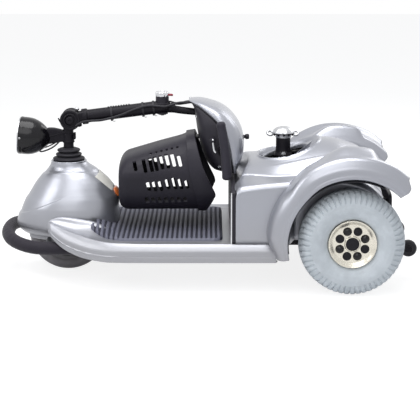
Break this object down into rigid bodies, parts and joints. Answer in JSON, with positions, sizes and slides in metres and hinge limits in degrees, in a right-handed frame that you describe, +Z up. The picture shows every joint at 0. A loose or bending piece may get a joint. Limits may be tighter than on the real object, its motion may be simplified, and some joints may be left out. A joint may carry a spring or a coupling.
{
  "type": "electric three-wheel mobility scooter with folded tiller",
  "caption": "Compact electric three-wheel mobility scooter: steered front wheel under a bell cowl, flat footboard, folded tiller with basket, rear body with flared fenders and bare seat post.",
  "frame": {"origin": "centre of the bounding box on the floor under the wheels", "axes": "+X forward, +Y to the rider's left, +Z up"},
  "size_m": [1.058, 0.58, 0.466],
  "materials": {
    "silver_paint": "metallic silver lacquer on moulded panels",
    "dark_plastic": "fine grained",
    "black_steel": "satin powder coat",
    "mat_rubber": "ribbed",
    "boot_rubber": "moulded bellows",
    "foam_grip": "closed-cell foam sleeve",
    "chrome": "plated",
    "battery_case": "moulded box",
    "cast_alloy": "cast",
    "gloss_black": "glossy",
    "lamp_glass": "fluted lens",
    "front_tyre_rubber": "solid",
    "wheel_alloy": "bright",
    "grip_foam": "soft sleeve",
    "cable_sheath": "smooth",
    "basket_plastic": "satin",
    "grey_tyre": "non-marking grey",
    "small_wheel": "moulded"
  },
  "bodies": {
    "chassis": {"frame": "black_steel", "deck": "silver_paint", "deck_mat": "mat_rubber", "front_cowl": "silver_paint", "bellows": "boot_rubber", "bumper": "foam_grip", "rear_shroud": "silver_paint", "front_panel": "dark_plastic", "fender_left": "silver_paint", "fender_right": "silver_paint", "seat_post": "black_steel", "battery": "battery_case", "transaxle": "cast_alloy", "tail_panel": "dark_plastic", "tip_arms": "black_steel"},
    "seat_swivel": {"seat_plate": "chrome"},
    "steering": {"fork": "black_steel", "knuckle_base": "black_steel", "headlight_bracket": "black_steel", "headlight_shell": "gloss_black", "headlight_lens": "lamp_glass"},
    "front_wheel": {"front_tyre": "front_tyre_rubber", "front_rim": "wheel_alloy"},
    "tiller": {"tiller_tube": "black_steel", "adjuster_knob": "dark_plastic", "head_cover": "silver_paint", "head_panel": "dark_plastic", "handlebar": "black_steel", "grips": "grip_foam", "levers": "chrome", "speed_knob": "dark_plastic", "tiller_cable": "cable_sheath", "basket": "basket_plastic", "basket_hook": "black_steel"},
    "rear_wheel_left": {"rear_tyre_left": "grey_tyre", "rear_rim_left": "wheel_alloy", "hub_cap_left": "dark_plastic"},
    "rear_wheel_right": {"rear_tyre_right": "grey_tyre", "rear_rim_right": "wheel_alloy", "hub_cap_right": "dark_plastic"},
    "tip_wheel_left": {"tip_wheel_left": "small_wheel"},
    "tip_wheel_right": {"tip_wheel_right": "small_wheel"}
  },
  "joints": [
    {"name": "steering_turn", "type": "hinge", "parent": "chassis", "child": "steering", "pos_m": [0.355, 0, 0.25], "axis": [0, 0, 1], "range_deg": [-40, 40]},
    {"name": "tiller_fold", "type": "hinge", "parent": "steering", "child": "tiller", "pos_m": [0.348, 0, 0.393], "axis": [0, 1, 0], "range_deg": [0, 62]},
    {"name": "front_wheel_spin", "type": "hinge", "parent": "steering", "child": "front_wheel", "pos_m": [0.361, 0, 0.1], "axis": [0, 1, 0], "continuous": true},
    {"name": "rear_wheel_left_spin", "type": "hinge", "parent": "chassis", "child": "rear_wheel_left", "pos_m": [-0.35, 0.24, 0.13], "axis": [0, 1, 0], "continuous": true},
    {"name": "rear_wheel_right_spin", "type": "hinge", "parent": "chassis", "child": "rear_wheel_right", "pos_m": [-0.35, -0.24, 0.13], "axis": [0, 1, 0], "continuous": true},
    {"name": "tip_wheel_left_spin", "type": "hinge", "parent": "chassis", "child": "tip_wheel_left", "pos_m": [-0.508, 0.1093, 0.081], "axis": [0, 1, 0], "continuous": true},
    {"name": "tip_wheel_right_spin", "type": "hinge", "parent": "chassis", "child": "tip_wheel_right", "pos_m": [-0.508, -0.1093, 0.081], "axis": [0, 1, 0], "continuous": true},
    {"name": "seat_swivel_turn", "type": "hinge", "parent": "chassis", "child": "seat_swivel", "pos_m": [-0.195, 0, 0.349], "axis": [0, 0, 1], "continuous": true}
  ]
}
